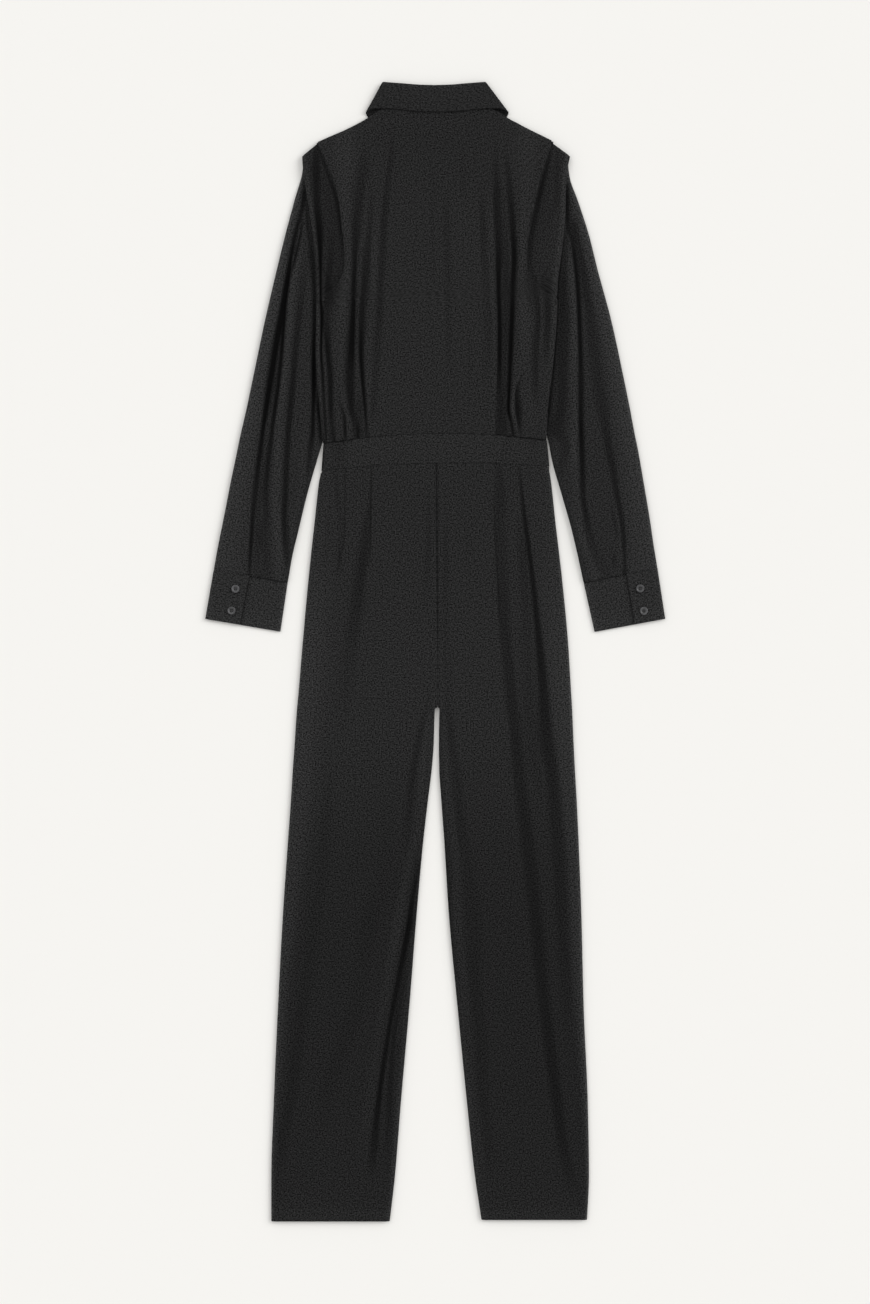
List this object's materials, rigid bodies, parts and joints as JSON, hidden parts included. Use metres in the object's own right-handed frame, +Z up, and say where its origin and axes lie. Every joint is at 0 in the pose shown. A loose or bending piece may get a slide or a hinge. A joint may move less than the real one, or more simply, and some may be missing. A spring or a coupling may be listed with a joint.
{
  "type": "jumpsuit laid flat",
  "caption": "Plain dark long-sleeved jumpsuit with a shirt collar and straight legs, laid flat with its back up.",
  "frame": {"origin": "centre of the outline, on the surface that the garment lies on", "axes": "+Y from the hems to the collar, +X to the right seen from above, +Z up from the surface, the back of the garment up"},
  "size_m": [0.607, 1.503, 0.0098],
  "materials": {
    "crepe": "soft matt charcoal crepe",
    "button": "satin grey"
  },
  "bodies": {
    "root": {"back_bodice": "crepe", "front_bodice_left": "crepe", "front_bodice_right": "crepe", "front_placket": "crepe", "front_button_stand": "crepe", "collar_fall": "crepe", "collar_stand": "crepe", "sleeve_left": "crepe", "sleeve_right": "crepe", "cuff_left": "crepe", "cuff_right": "crepe", "cuff_button_left_upper": "button", "cuff_button_left_lower": "button", "cuff_button_right_upper": "button", "cuff_button_right_lower": "button", "waistband_back": "crepe", "waistband_front_left": "crepe", "waistband_front_right": "crepe", "trouser_back_left": "crepe", "trouser_back_right": "crepe", "trouser_front_left": "crepe", "trouser_front_right": "crepe"}
  },
  "joints": []
}
